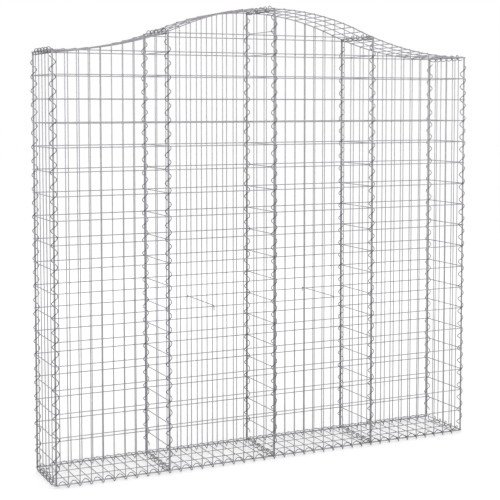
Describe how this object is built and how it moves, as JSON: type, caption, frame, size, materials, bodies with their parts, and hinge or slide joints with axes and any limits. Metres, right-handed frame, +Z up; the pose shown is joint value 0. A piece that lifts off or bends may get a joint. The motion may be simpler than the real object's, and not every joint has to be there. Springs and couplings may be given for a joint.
{
  "type": "gabion wall basket",
  "caption": "Empty arched gabion wall basket of galvanised welded mesh, in bays parted by mesh partitions and bound along its edges with wire spirals.",
  "frame": {"origin": "middle of the basket's footprint, on the ground under the bottom spirals", "axes": "+X along the wall, -Y the front face, +Z up"},
  "size_m": [2.0238, 0.3076, 2.0115],
  "materials": {
    "mesh_wire": "galvanised, dull silver-grey with a fine spangle",
    "spiral_wire": "galvanised, a little darker and brighter in the highlights than the mesh",
    "spacer_wire": "galvanised"
  },
  "bodies": {
    "root": {"front_panel_1": "mesh_wire", "front_panel_2": "mesh_wire", "front_panel_3": "mesh_wire", "front_panel_4": "mesh_wire", "back_panel_1": "mesh_wire", "back_panel_2": "mesh_wire", "back_panel_3": "mesh_wire", "back_panel_4": "mesh_wire", "left_end_panel": "mesh_wire", "right_end_panel": "mesh_wire", "partition_1": "mesh_wire", "partition_2": "mesh_wire", "partition_3": "mesh_wire", "floor_panel": "mesh_wire", "lid_panel_1": "mesh_wire", "lid_panel_2": "mesh_wire", "lid_panel_3": "mesh_wire", "lid_panel_4": "mesh_wire", "front_upright_spiral_1": "spiral_wire", "front_upright_spiral_2": "spiral_wire", "front_upright_spiral_3": "spiral_wire", "front_upright_spiral_4": "spiral_wire", "front_upright_spiral_5": "spiral_wire", "back_upright_spiral_1": "spiral_wire", "back_upright_spiral_2": "spiral_wire", "back_upright_spiral_3": "spiral_wire", "back_upright_spiral_4": "spiral_wire", "back_upright_spiral_5": "spiral_wire", "front_bottom_spiral": "spiral_wire", "back_bottom_spiral": "spiral_wire", "bottom_cross_spiral_1": "spiral_wire", "bottom_cross_spiral_2": "spiral_wire", "bottom_cross_spiral_3": "spiral_wire", "bottom_cross_spiral_4": "spiral_wire", "bottom_cross_spiral_5": "spiral_wire", "top_cross_spiral_1": "spiral_wire", "top_cross_spiral_2": "spiral_wire", "top_cross_spiral_3": "spiral_wire", "top_cross_spiral_4": "spiral_wire", "top_cross_spiral_5": "spiral_wire", "spacer_wire_1": "spacer_wire", "spacer_wire_2": "spacer_wire"}
  },
  "joints": []
}
